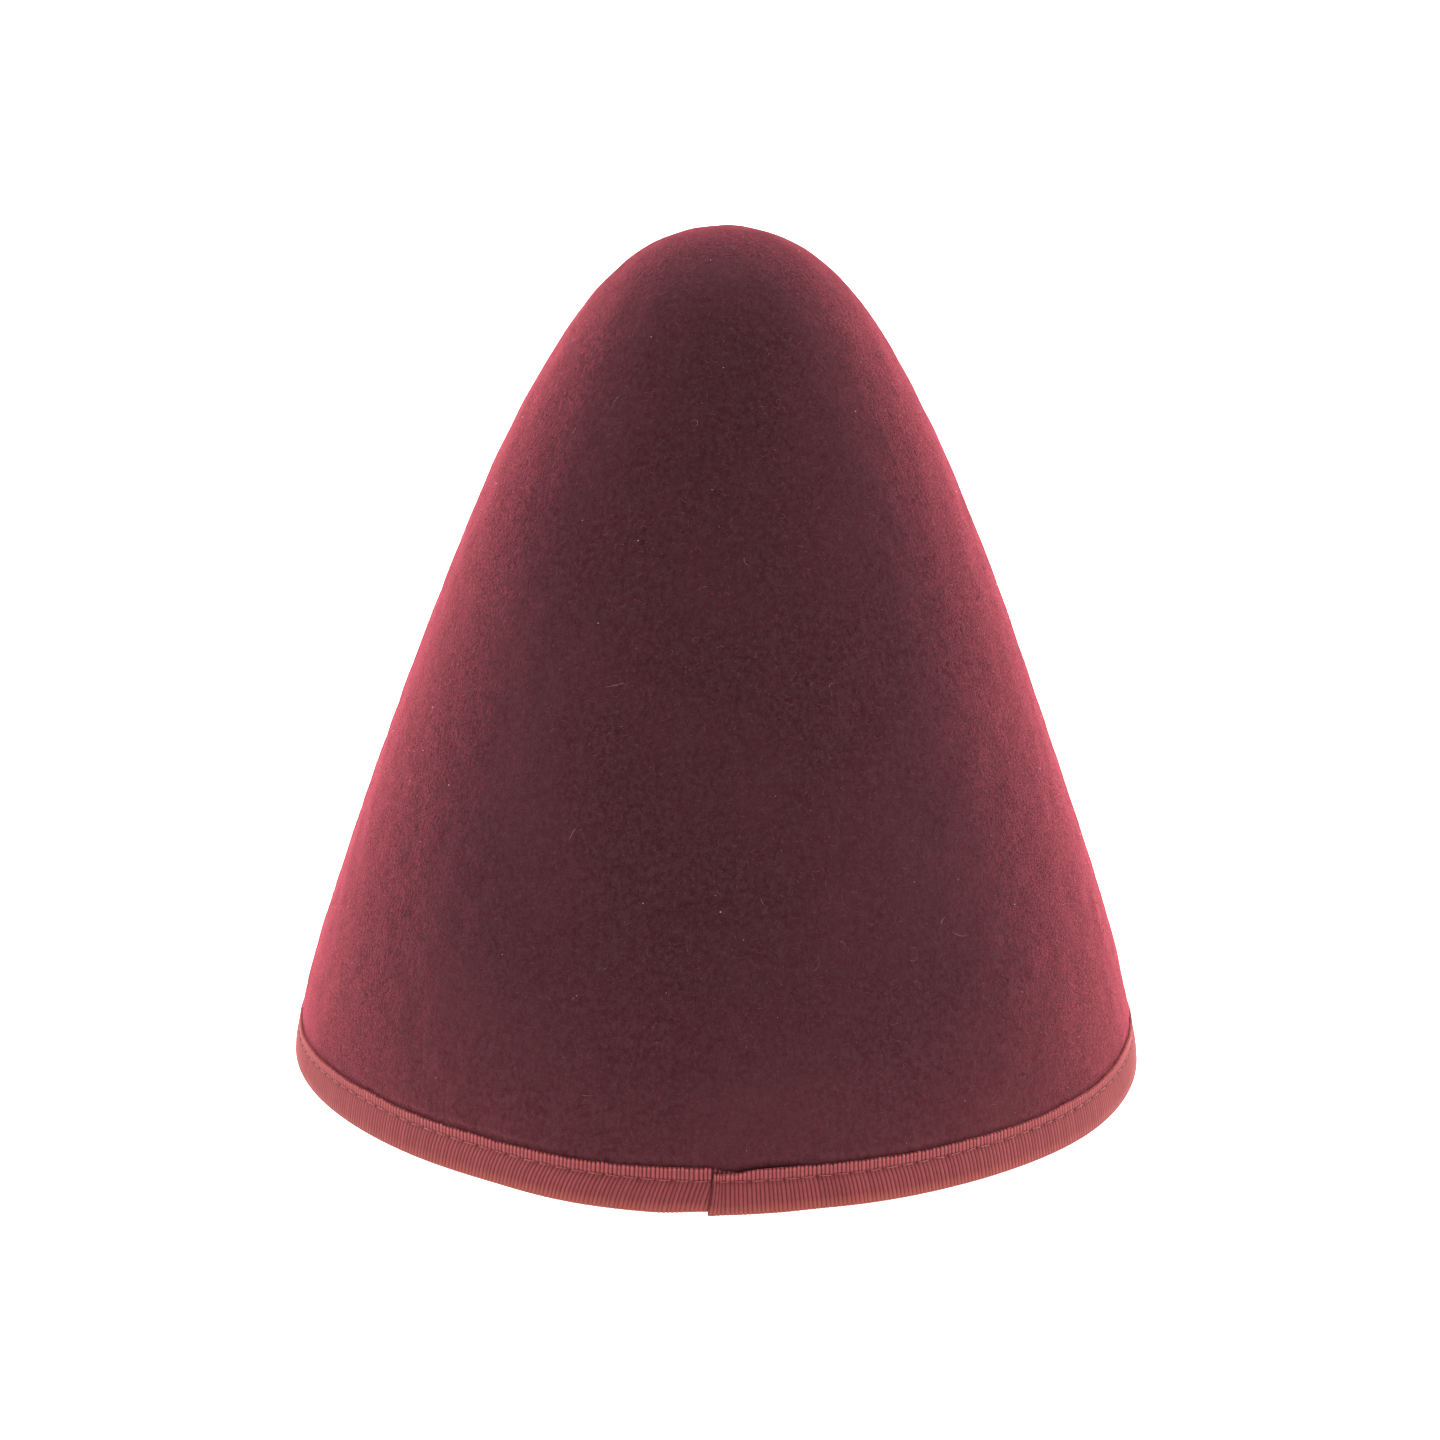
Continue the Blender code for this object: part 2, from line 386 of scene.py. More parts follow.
def makeFeltMaterial():
    # a mottle of two dark colours, drier in clouds and lighter near the rim by painted light from below,
    # with paler fibres over it
    material, tree, shader = startMaterial("woolFelt", {
        "Roughness": 1.0, "Specular IOR Level": 0.03,
        "Sheen Weight": 0.86, "Sheen Roughness": 0.27, "Sheen Tint": felt["sheenTint"],
    })
    place = addNode(tree, "ShaderNodeTexCoord").outputs["Object"]
    combed = addNode(tree, "ShaderNodeMapping", {
        "Vector": place, "Scale": (1.0, 1.0, felt["combing"]),
    }).outputs[0]
    fine = addNode(tree, "ShaderNodeGroup", {}, node_tree=fibreGroup)
    tree.links.new(combed, fine.inputs["Vector"])
    fine.inputs["Scale"].default_value = felt["fibreScale"]
    fine.inputs["Twist"].default_value = felt["fibreTwist"]
    fine.inputs["Line Width"].default_value = felt["fibreWidth"]
    cloud = addNode(tree, "ShaderNodeTexNoise", {
        "Vector": place, "Scale": felt["cloudScale"], "Detail": 3.0,
    }).outputs["Fac"]
    grain = addNode(tree, "ShaderNodeTexNoise", {
        "Vector": place, "Scale": felt["grainScale"], "Detail": 2.0,
    }).outputs["Fac"]
    mottle = between(tree, fine.outputs["Mottle"], *felt["mottleRange"])
    colour = mixColour(tree, mottle, felt["darkColour"], felt["colour"])
    dry = between(tree, cloud, *felt["cloudRange"], 0.0, felt["dryShare"])
    colour = mixColour(tree, dry, colour, felt["dryColour"])
    height = addNode(tree, "ShaderNodeSeparateXYZ", {"Vector": place}).outputs["Z"]
    # painted light from below, lighter just above the ribbon
    paintedRimLight = calc(tree, "MULTIPLY", between(tree, height, *felt["rimLightFade"]), felt["rimLightShare"])
    colour = mixColour(tree, paintedRimLight, colour, felt["rimLightGain"], "MULTIPLY")
    fibreShare = between(tree, grain, *felt["grainRange"], *felt["fibreShares"])
    fibreShare = calc(tree, "MULTIPLY", fine.outputs["Fibres"], fibreShare)
    colour = mixColour(tree, fibreShare, colour, felt["fibreColour"])
    tree.links.new(colour, shader.inputs["Base Color"])
    relief = calc(tree, "MULTIPLY", grain, felt["grainRelief"])
    relief = calc(tree, "MULTIPLY_ADD", fine.outputs["Fibres"], felt["fibreRelief"], relief)
    relief = calc(tree, "ADD", relief, fine.outputs["Mottle"])
    bump = addNode(tree, "ShaderNodeBump", {
        "Height": relief, "Strength": 0.5, "Distance": felt["relief"],
    })
    tree.links.new(bump.outputs["Normal"], shader.inputs["Normal"])
    return material


ribbon = {
    "colour": (0.273, 0.055, 0.056),
    "darkColour": (0.206, 0.0375, 0.0395),
    # painted shade in the rib valleys, stitch groove and holes, the slit and the lap, and the power of its
    # fall across each valley
    "paintedShadeColour": (0.052, 0.005, 0.007),
    "valleyShadePower": 1.5,
    # painted highlight on the beads and loops at the top edge
    "highlightColour": (0.420, 0.098, 0.104),
    # painted light from the floor, a warmer colour at the fold
    "foldLightColour": (0.350, 0.092, 0.055),
    "fibreScale": 900,
    "fibreWidth": 0.02,
    "warpShade": 0.03,
    "toneShade": 0.30,
    "shadeRange": (0.35, 0.95),
    "warpRelief": 0.25,
    "relief": 0.00006,
    # shares of the painted shade in the stitch groove and holes, and of the painted highlight on the beads
    # and loops
    "grooveShade": 0.20,
    "holeShade": 0.6,
    "beadLight": 0.35,
    "loopLight": 0.55,
    "thickness": 0.00045,
    "gap": 0.0001,
    "press": 0.00035,
    "lapStep": 0.00058,
    "endLift": 0.00040,
    "height": 0.0097,
    "frontRise": 0.0004,
    "frontReach": 60,
    "foldRounding": 0.0009,
    "ribPitch": 0.00095,
    "ribStray": 0.10,
    "ribSamples": [-0.5, -0.3, 0.0, 0.3],
    "ribDepth": 0.00026,
    # the ribs are flatter where the ribbon is folded, below foldHeight
    "foldShare": 0.4,
    "foldHeight": 0.0030,
    "foldEase": 0.0018,
    "beadDepth": 0.00033,
    "beadEase": 0.0007,
    "bulge": 0.00012,
    "stitchHeight": 0.0075,
    "stitchPitch": 0.0039,
    "stitchGroove": 0.00022,
    "grooveHalfWidth": 0.00042,
    "holeDepth": 0.00018,
    "holeRadius": 0.00030,
    # every second hole is less deep
    "shallowHole": 0.45,
    "flare": 0.00006,
    "loopBulge": 0.00012,
    "loopDrop": 0.00032,
    "loopHalfWidth": 0.00020,
    "topRounding": 0.0003,
    "topShare": 0.4,
    "scallop": 0.00032,
    "tipStray": 0.00007,
    "tipReach": 0.0009,
    "edgeWave": 0.00010,
    "edgeWaveLength": 0.020,
    "edgeWaveRadius": 0.09,
    "endRounding": 0.00022,
    "endReach": 0.0007,
    "warpPitch": 0.00023,
    # where the cross-section has its points, from the top edge down as shares of each leg
    "outsideShares": [
        0, 0.014, 0.034, 0.062, 0.10, 0.145, 0.185, 0.215, 0.245, 0.28, 0.32, 0.41, 0.57, 0.78,
    ],
    "insideShares": [0, 0.03, 0.12, 0.20, 0.25, 0.55],
    "backShares": [0.01, 0.245, 0.60],
    "foldTurns": [15, 50, 90],
    # painted light from the floor, a warmer colour at the fold: its share, the heights it fades over and
    # its rest at the sides
    "floorLightShare": 0.55,
    "floorLightHeight": 0.0026,
    "floorLightEase": 0.0024,
    "floorLightSides": 0.35,
    # painted shadow in the slit to the left of the lap's end, painted shade beside it on the ribbon's
    # start, and painted shade on the last rib of the end
    "slitReach": 0.03,
    "slitShade": 1.3,
    "slitPlace": 0.00022,
    "slitHalfWidth": 0.0005,
    "lapShade": 0.45,
    "lapShadeEase": 0.001,
    "lastRibShade": 0.8,
    "lastRibWidth": 0.00022,
}

# How far the ribs lean to the right going up, by the degrees round the rim from the lap's end. A bow over 0
# makes them lean more near the top.
ribLeanLeft = [
    {"turn": 0, "degrees": 17, "bow": 0.3},
    {"turn": 4, "degrees": 15, "bow": 0.5},
    {"turn": 11, "degrees": 18, "bow": 0.6},
    {"turn": 21, "degrees": 18, "bow": 0.8},
    {"turn": 33, "degrees": 14, "bow": 1.0},
    {"turn": 48, "degrees": 5, "bow": 0.8},
    {"turn": 60, "degrees": 0, "bow": 0.0},
]
ribLeanRight = [
    {"turn": 0.0, "degrees": 9.5, "bow": -0.8},
    {"turn": 2.2, "degrees": 0, "bow": 0.0},
    {"turn": 8.0, "degrees": -3, "bow": 0.4},
    {"turn": 14.0, "degrees": -7, "bow": 0.8},
    {"turn": 25.0, "degrees": -10, "bow": 0.8},
    {"turn": 33.0, "degrees": -8, "bow": 0.8},
    {"turn": 45.0, "degrees": -4, "bow": 0.5},
    {"turn": 70.0, "degrees": 0, "bow": 0.0},
]

# At the far left the ribbon is folded lower: how far its top edge drops, and the degrees round the hat from
# the front, left negative, where the drop starts and is full on the front's side and on the back's.
ribbonLow = {
    "drop": 0.0019,
    "frontStart": -54,
    "frontFull": -84,
    "backFull": -115,
    "backStart": -165,
}


def awayFromFront(angle):
    # degrees round the hat from the front, left negative
    return (angle + 270) % 360 - 180


def lowShare(angle):
    # the share of its height by which the ribbon is folded lower
    away = awayFromFront(angle)
    frontEase = ribbonLow["frontStart"] - ribbonLow["frontFull"]
    backEase = ribbonLow["backFull"] - ribbonLow["backStart"]
    front = smoothRise((ribbonLow["frontStart"] - away) / frontEase)
    back = smoothRise((away - ribbonLow["backStart"]) / backEase)
    return ribbonLow["drop"] / ribbon["height"] * front * back


def placeRibbon(radius, angle, height):
    # finished points of the ribbon, slid down the felt's slope where it is folded lower
    lower = height * (1 - lowShare(angle))
    slope = feltSection(lower, 0 * lower)[0] - feltSection(height, 0 * height)[0]
    return settle(round3d(radius + slope, angle, lower))


def makeRibbonMaterial():
    # two colours mixed by mottle, warp and the rib's tone, then by masks the painted floor light at the
    # fold, painted highlights at the tips and painted shade in the valleys
    material, tree, shader = startMaterial("ribbonCloth", {
        "Roughness": 0.75, "Specular IOR Level": 0.22,
        "Sheen Weight": 0.2, "Sheen Roughness": 0.35, "Sheen Tint": (1.0, 0.45, 0.45, 1.0),
    })
    uv = addNode(tree, "ShaderNodeUVMap", uv_map="cloth").outputs[0]
    along = addNode(tree, "ShaderNodeSeparateXYZ", {"Vector": uv}).outputs
    # masks of painted shade (valley), painted highlight (tip) and painted floor light (fold), and each
    # rib's random tone
    valley, tip, fold, tone = (
        addNode(tree, "ShaderNodeAttribute", attribute_name=name).outputs["Fac"]
        for name in ("valley", "tip", "fold", "tone")
    )
    fine = addNode(tree, "ShaderNodeGroup", {}, node_tree=fibreGroup)
    tree.links.new(addNode(tree, "ShaderNodeTexCoord").outputs["Object"], fine.inputs["Vector"])
    fine.inputs["Scale"].default_value = ribbon["fibreScale"]
    fine.inputs["Line Width"].default_value = ribbon["fibreWidth"]
    # warp threads cross the ribs, each row half a thread on from the rib beside it
    ribNumber = calc(tree, "MULTIPLY", along["X"], 1 / ribbon["ribPitch"])
    stagger = calc(tree, "MULTIPLY", calc(tree, "FLOOR", ribNumber), 0.5)
    warpTurn = calc(tree, "MULTIPLY_ADD", along["Y"], 1 / ribbon["warpPitch"], stagger)
    warp = calc(tree, "COSINE", calc(tree, "MULTIPLY", warpTurn, 2 * np.pi))
    shade = calc(tree, "MULTIPLY_ADD", warp, ribbon["warpShade"], fine.outputs["Mottle"])
    shade = calc(tree, "MULTIPLY_ADD", tone, ribbon["toneShade"], shade)
    shade = between(tree, shade, *ribbon["shadeRange"])
    colour = mixColour(tree, shade, ribbon["darkColour"], ribbon["colour"])
    # painted light from the floor at the fold
    colour = mixColour(tree, fold, colour, ribbon["foldLightColour"])
    # painted highlight on the beads and loops
    colour = mixColour(tree, tip, colour, ribbon["highlightColour"])
    # painted shade in the valleys, grooves, holes, the slit and the lap
    colour = mixColour(tree, valley, colour, ribbon["paintedShadeColour"])
    tree.links.new(colour, shader.inputs["Base Color"])
    height = calc(tree, "MULTIPLY_ADD", warp, ribbon["warpRelief"], fine.outputs["Mottle"])
    bump = addNode(tree, "ShaderNodeBump", {
        "Height": height, "Strength": 0.5, "Distance": ribbon["relief"],
    })
    tree.links.new(bump.outputs["Normal"], shader.inputs["Normal"])
    return material


thread = {
    "colour": (0.360, 0.075, 0.075),
    # the darker colour is painted shade in the grooves between the plies
    "darkColour": (0.230, 0.040, 0.042),
    "radius": 0.00011,
    "visible": 0.0033,
    "visibleStray": (0.85, 1.05),
    "endSize": 0.35,
    "arch": 0.00013,
    "sag": 0.00020,
    "sink": 0.00030,
    "tilt": 0.00016,
    "ply": 0.0008,
    "relief": 0.00004,
    "segments": 9,
    "sides": 6,
    # those before it lie hidden under the lap
    "firstShown": 4,
}


def makeThreadMaterial():
    # two colours in a cosine stripe that winds round the thread, the darker one painted shade in the
    # grooves between the plies
    material, tree, shader = startMaterial("sewingThread", {
        "Roughness": 0.6, "Specular IOR Level": 0.35, "Sheen Weight": 0.3, "Sheen Roughness": 0.4,
    })
    uv = addNode(tree, "ShaderNodeUVMap", uv_map="cloth").outputs[0]
    along = addNode(tree, "ShaderNodeSeparateXYZ", {"Vector": uv}).outputs
    twistTurn = calc(tree, "MULTIPLY_ADD", along["X"], 1 / thread["ply"], along["Y"])
    ply = calc(tree, "COSINE", calc(tree, "MULTIPLY", twistTurn, 2 * np.pi))
    colour = mixColour(tree, between(tree, ply, -1.0, 1.0), thread["darkColour"], thread["colour"])
    tree.links.new(colour, shader.inputs["Base Color"])
    bump = addNode(tree, "ShaderNodeBump", {
        "Height": ply, "Strength": 0.6, "Distance": thread["relief"],
    })
    tree.links.new(bump.outputs["Normal"], shader.inputs["Normal"])
    return material


# Felt body

def feltDepth(points):
    # how far the pressed felt swells in and out of its true form: one long noise and one short
    swell = felt["swell"] * softNoise(points, felt["swellLength"], 5)
    return swell + felt["unevenness"] * softNoise(points, felt["unevenLength"], 6)


def feltPoint(height, turn):
    # a point on the felt's finished outer face
    radius, level = feltSection(height, 0 * height)
    depth = feltDepth(round3d(radius, turn, level))
    radius, level = feltSection(height, depth)
    return round3d(radius, turn, level)


def makeFeltBody():
    # the wall's section turned once round: down the outer face, round the edge and up the inner face
    turn = np.arange(felt["columns"]) * 360 / felt["columns"] - 90
    bottom = ribbon["thickness"] + 2 * ribbon["gap"]
    rounding = felt["edgeRounding"]
    drop = np.linspace(0, 1, felt["outerRows"] + 1)[1:]
    outerHeight = hat["height"] - (hat["height"] - felt["fineFrom"]) * drop ** felt["outerCrowding"]
    outerHeight = np.concatenate([outerHeight, felt["fineHeights"], [bottom + rounding]])
    innerDrop = np.linspace(0, 1, felt["innerRows"] + 1)[1:]
    innerFall = (hat["height"] - bottom - rounding) * innerDrop ** felt["innerCrowding"]
    innerHeight = (hat["height"] - innerFall)[::-1]
    heights = np.concatenate([outerHeight, innerHeight])
    inward = np.concatenate([0 * outerHeight, -hat["feltThickness"] + 0 * innerHeight])
    radius, level = feltSection(heights[None, :] + 0 * turn[:, None], inward[None, :])
    depth = feltDepth(round3d(radius, turn[:, None], level))
    # pressed in under the ribbon
    way = (lapStartAngle - turn) % 360 / turnPerMetre
    onceMore = np.minimum(way + stripLength - lap["length"], stripLength)
    topEdge = np.maximum(stripPlace(way)[3], stripPlace(onceMore)[3])
    topEdge = topEdge * (1 - lowShare(turn))
    pressEase = felt["pressEase"] * felt["pressReach"]
    under = smoothRise((topEdge[:, None] + felt["pressReach"] - heights) / pressEase)
    pressed = ribbon["press"] * np.where(inward == 0, 1, -1)
    depth = depth * (1 - under) - pressed * under
    radius, level = feltSection(heights[None, :] + 0 * turn[:, None], inward[None, :] + depth)
    # the cut edge, rounded and cut shorter under the lap
    shorter = ribbon["lapStep"] * lapLevel((turn + 180) % 360 - 180)[:, None]
    highest, lowest = felt["cutReach"]
    low = smoothRise((highest - heights) / (highest - lowest))
    level = level + shorter * low
    out, into = len(outerHeight) - 1, len(outerHeight)
    rimRadius, rimLevel = [], []
    for foot, side, corner in ((out, 1, [45, 90]), (into, -1, [90, 45])):
        for angle in np.radians(corner):
            rimRadius.append(radius[:, foot] - side * rounding * (1 - np.cos(angle)))
            rimLevel.append(level[:, foot] - rounding * np.sin(angle))
    radius = np.concatenate([radius[:, : out + 1], np.stack(rimRadius, 1), radius[:, into:]], 1)
    level = np.concatenate([level[:, : out + 1], np.stack(rimLevel, 1), level[:, into:]], 1)
    points = settle(round3d(radius, turn[:, None], level))
    columns, rows = points.shape[:2]
    tip = points[:, 0, 2].mean() + felt["tipRise"]
    poles = np.array([[0, 0, max(tip, hat["height"])], [0, 0, hat["height"] - hat["feltThickness"]]])
    points = np.concatenate([points.reshape(-1, 3), settle(poles)])
    here = np.arange(columns) * rows
    there = np.roll(here, -1)
    top = np.stack([np.full(columns, columns * rows), here, there], 1)
    inside = np.stack([np.full(columns, columns * rows + 1), there + rows - 1, here + rows - 1], 1)
    faces = [gridFaces(columns, rows, wrapColumns=True), top, inside]
    item = makePiece("felt_body", points, faces, makeFeltMaterial())
    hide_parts("felt_cone")


# Ribbon

ribCount = int(round(stripLength / ribbon["ribPitch"]))


def ribShift(way, height):
    # how far to the right a rib has leant at a height: a straight lean bent by its bow
    fromLap = (way - lap["length"]) * turnPerMetre
    fromEnd = (stripLength - way) * turnPerMetre
    share = np.clip(height / ribbon["stitchHeight"], 0, 1)
    shifts = []
    for table, turn in ((ribLeanLeft, fromLap), (ribLeanRight, fromEnd)):
        turns, degrees, bow = (np.array([row[key] for row in table]) for key in ("turn", "degrees", "bow"))
        lean = np.tan(np.radians(np.interp(turn, turns, degrees)))
        bend = np.interp(turn, turns, bow) * share * (share - 1)
        shifts.append(lean * ribbon["stitchHeight"] * (share + bend))
    return np.where(way < stripLength / 2, *shifts)


def stripPlace(way):
    # where the strip lies: its turn, the outset of its inner face, its lowest height and its top edge
    turn = lapStartAngle - way * turnPerMetre
    onTop = way > stripLength / 2
    level = lapLevel(np.where(onTop, turn + 360, turn)) * ribbon["lapStep"]
    fromEnd = np.where(onTop, stripLength - way, way)
    endLift = ribbon["endLift"] * np.exp(-((fromEnd / lap["liftReach"]) ** 2)) * onTop
    outset = ribbon["gap"] - ribbon["press"] + level * onTop + endLift
    bottom = level * ~onTop
    # the end on top hangs a little low, and the start under it sinks away to the right
    hidden = lap["startDrop"] * smoothRise((lap["length"] + lap["startEase"] - way) / lap["startReach"])
    hidden = hidden + lap["hiddenDrop"] * np.clip((lap["length"] - way) / lap["sinkReach"], 0, 1)
    first = smoothRise((lap["firstFrom"] * lap["dropReach"] - fromEnd) / lap["firstReach"])
    rest = smoothRise((lap["dropReach"] - fromEnd) / lap["restReach"])
    shown = lap["firstShare"] * first + (1 - lap["firstShare"]) * rest
    topDrop = np.where(onTop, lap["topDrop"] * shown, hidden)
    topRise = lap["topRise"] * smoothRise(1 - np.abs(way - lap["length"]) / lap["riseReach"])
    frontShare = smoothRise(1 - np.abs(awayFromFront(turn)) / ribbon["frontReach"])
    topRise = topRise + ribbon["frontRise"] * frontShare
    return turn, outset, bottom, ribbon["height"] + topRise - topDrop


def edgeU(legHeight, legOutset, footHeight, footOutset, rounding, arc):
    # radii and heights of a U: down the outside, round the fold on an arc and up the inside, where the
    # outset is inward
    outside, inside = legHeight
    outsideOutset, insideOutset = legOutset
    outRadius, outLevel = feltSection(outside, outsideOutset)
    inRadius, inLevel = feltSection(inside, -hat["feltThickness"] - insideOutset)
    outCentre = feltSection(footHeight, footOutset)[0] - rounding
    inCentre = feltSection(footHeight, -hat["feltThickness"] - footOutset)[0] + rounding
    turn = np.radians(np.array(ribbon["foldTurns"]))[None, :]
    foldLevel = footHeight - arc * np.sin(turn)
    radius = [outRadius, outCentre + arc * np.cos(turn), (inCentre - arc * np.cos(turn))[:, ::-1], inRadius]
    level = [outLevel, foldLevel, foldLevel[:, ::-1], inLevel]
    return radius, level


def ribbonFace(height, top, valley):
    # the outer face's relief: half a sine wave over its body, a bell-shaped groove pressed by the stitches,
    # and flared beads with looped tips
    up = height - ribbon["stitchHeight"]
    below = top - height
    bodyHeight = ribbon["stitchHeight"] - ribbon["foldRounding"]
    body = np.clip((height - ribbon["foldRounding"]) / bodyHeight, 0, 1)
    groove = np.exp(-((up / ribbon["grooveHalfWidth"]) ** 2))
    bead = smoothRise(up / ribbon["beadEase"])
    loop = np.exp(-(((below - ribbon["loopDrop"]) / ribbon["loopHalfWidth"]) ** 2))
    edge = smoothRise(1 - below / ribbon["topRounding"])
    relief = ribbon["bulge"] * np.sin(np.pi * body) - ribbon["stitchGroove"] * groove
    relief = relief + ribbon["flare"] * bead + ribbon["loopBulge"] * loop
    relief = relief - ribbon["topShare"] * ribbon["thickness"] * edge
    depth = ribbon["ribDepth"] * (1 - 0.5 * groove) + (ribbon["beadDepth"] - ribbon["ribDepth"]) * bead
    folded = smoothRise((ribbon["foldHeight"] - height) / ribbon["foldEase"])
    depth = depth * (1 - (1 - ribbon["foldShare"]) * folded)
    return relief - depth * valley, groove, bead, loop


def makeRibbon():
    # the U's section carried along the strip. Across each rib the valley rises from 0 on its back to 1 at
    # both sides, as the square of the way from its middle
    draw = np.random.default_rng(12)
    stray = ribbon["ribStray"] * draw.uniform(-1, 1, ribCount + 1)
    stray[[0, -1]] = 0
    place = (np.arange(ribCount)[:, None] + 0.5 + np.array(ribbon["ribSamples"])[None, :]).reshape(-1)
    place = np.append(place, ribCount)
    rib = np.minimum(place.astype(int), ribCount - 1)
    way = ((place + np.interp(place, np.arange(ribCount + 1), stray)) / ribCount * stripLength)[:, None]
    valley = (np.abs(place - np.floor(place) - 0.5) * 2)[:, None] ** 2.0
    turn, outset, bottom, top = stripPlace(way)
    rounding, thickness = ribbon["foldRounding"], ribbon["thickness"]
    tip = ribbon["tipStray"] * draw.normal(size=ribCount)[rib][:, None] - ribbon["scallop"] * valley
    # the top edge waves by a noise read off round a circle near the rim
    edgePlace = round3d(ribbon["edgeWaveRadius"], turn[:, 0], 0 * turn[:, 0])
    top = top + ribbon["edgeWave"] * softNoise(edgePlace, ribbon["edgeWaveLength"], 11)[:, None]

    leg = top - bottom - rounding
    outside = top - np.array(ribbon["outsideShares"])[None, :] * leg
    inside = top - np.array(ribbon["insideShares"])[None, ::-1] * leg
    outside = outside + tip * smoothRise(1 - (top - outside) / ribbon["tipReach"])
    inside = inside + tip * smoothRise(1 - (top - inside) / ribbon["tipReach"])
    outFace, groove, bead, loop = ribbonFace(outside, top + tip, valley)
    inFace = ribbonFace(inside, top + tip, valley)[0]
    stitch = way / ribbon["stitchPitch"]
    fromHole = np.abs(stitch - np.round(stitch)) * ribbon["stitchPitch"]
    deep = np.where(np.round(stitch) % 2 == 0, 1.0, ribbon["shallowHole"])
    hole = deep * np.exp(-((fromHole / ribbon["holeRadius"]) ** 2)) * groove
    endRound = ribbon["endRounding"] * smoothRise(1 - (stripLength - way) / ribbon["endReach"])
    shown = outset + thickness
    outsideFace = shown + outFace - ribbon["holeDepth"] * hole - endRound
    insideFace = shown + inFace - endRound
    foldArc = rounding - ribbon["foldShare"] * ribbon["ribDepth"] * valley
    faceRadius, faceLevel = edgeU(
        (outside, inside), (outsideFace, insideFace),
        bottom + rounding, shown - endRound, rounding, foldArc,
    )
    back = top - np.array(ribbon["backShares"])[None, :] * leg
    backOutset = outset + np.maximum(ribbonFace(back, top, 0 * valley)[0], -0.5 * ribbon["gap"])
    backRadius, backLevel = edgeU(
        (back, back[:, ::-1]), (backOutset, backOutset[:, ::-1]),
        bottom + rounding, shown, rounding, rounding - thickness + 0 * way,
    )
    radius = np.concatenate([*faceRadius, *(part[:, ::-1] for part in backRadius[::-1])], 1)
    level = np.concatenate([*faceLevel, *(part[:, ::-1] for part in backLevel[::-1])], 1)
    angle = turn + np.degrees(ribShift(way, level) / hat["rimRadius"])
    points = placeRibbon(radius, angle, level)
    columns, rows = points.shape[:2]
    # the columns run to the left, so the grid is turned to face out
    faces = gridFaces(columns, rows, wrapRows=True)[:, ::-1]
    caps = [np.arange(rows)[None], (columns - 1) * rows + np.arange(rows)[None, ::-1]]

    step = np.linalg.norm(np.diff(points, axis=1), axis=2)
    around = np.append(0, np.cumsum(step.mean(0)))[None, :]
    uv = np.stack([way + 0 * around, around + 0 * way], -1).reshape(-1, 2)
    outsideCount = outside.shape[1]
    faceCount = sum(part.shape[1] for part in faceRadius)
    # masks of painted shade, painted highlight and painted floor light
    dark, light, paintedFloorLight = np.zeros((3, columns, rows))
    # painted floor light at the fold: full within 22 degrees of the front, and its share at the sides from
    # 67 degrees on
    front = smoothRise(1.5 - np.abs(awayFromFront(turn)) / 45)
    front = ribbon["floorLightSides"] + (1 - ribbon["floorLightSides"]) * front
    aboveFold = level[:, :faceCount] - bottom
    paintedFloorLight[:, :faceCount] = front * smoothRise((ribbon["floorLightHeight"] - aboveFold) / ribbon["floorLightEase"])
    # painted shade in the rib valleys, halved where the painted floor light is
    valleyShade = valley**ribbon["valleyShadePower"]
    dark[:, :faceCount] = valleyShade * (1 - 0.5 * paintedFloorLight[:, :faceCount])
    endShift = ribShift(np.full((1, 1), stripLength), level)
    endLine = lap["endAngle"] + np.degrees(endShift / hat["rimRadius"])
    leftOfEnd = np.radians(endLine - angle) * hat["rimRadius"]
    # painted shadow in the slit left of the lap's end, and painted shade on the ribbon's start beside it
    nearLap = way < ribbon["slitReach"]
    slit = smoothRise(1 - np.abs(leftOfEnd - ribbon["slitPlace"]) / ribbon["slitHalfWidth"])
    shade = smoothRise(0.5 - leftOfEnd / ribbon["lapShadeEase"])
    shade = (ribbon["slitShade"] * slit + ribbon["lapShade"] * shade) * nearLap
    # painted shade on the last rib of the end
    lastRib = smoothRise(1 - (stripLength - way) / ribbon["lastRibWidth"])
    # painted shade in the stitch groove and holes, on the last rib and by the slit
    dark[:, :outsideCount] += ribbon["grooveShade"] * groove + ribbon["holeShade"] * hole
    dark[:, :outsideCount] += ribbon["lastRibShade"] * lastRib + shade[:, :outsideCount]
    # painted highlight on the beads and loops, none in the valleys
    light[:, :outsideCount] = (ribbon["beadLight"] * bead + ribbon["loopLight"] * loop) * (1 - valley)
    tone = draw.uniform(0, 1, ribCount)[rib][:, None] + 0 * level
    masks = {
        "valley": np.clip(dark, 0, 1),
        "tip": light,
        "fold": ribbon["floorLightShare"] * paintedFloorLight,
        "tone": tone,
    }
    faceSets = [faces, *caps]
    cloth = makeRibbonMaterial()
    item = makePiece("ribbon_binding", points.reshape(-1, 3), faceSets, cloth, uv, masks)
    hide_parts("rim_binding")


# Stitches

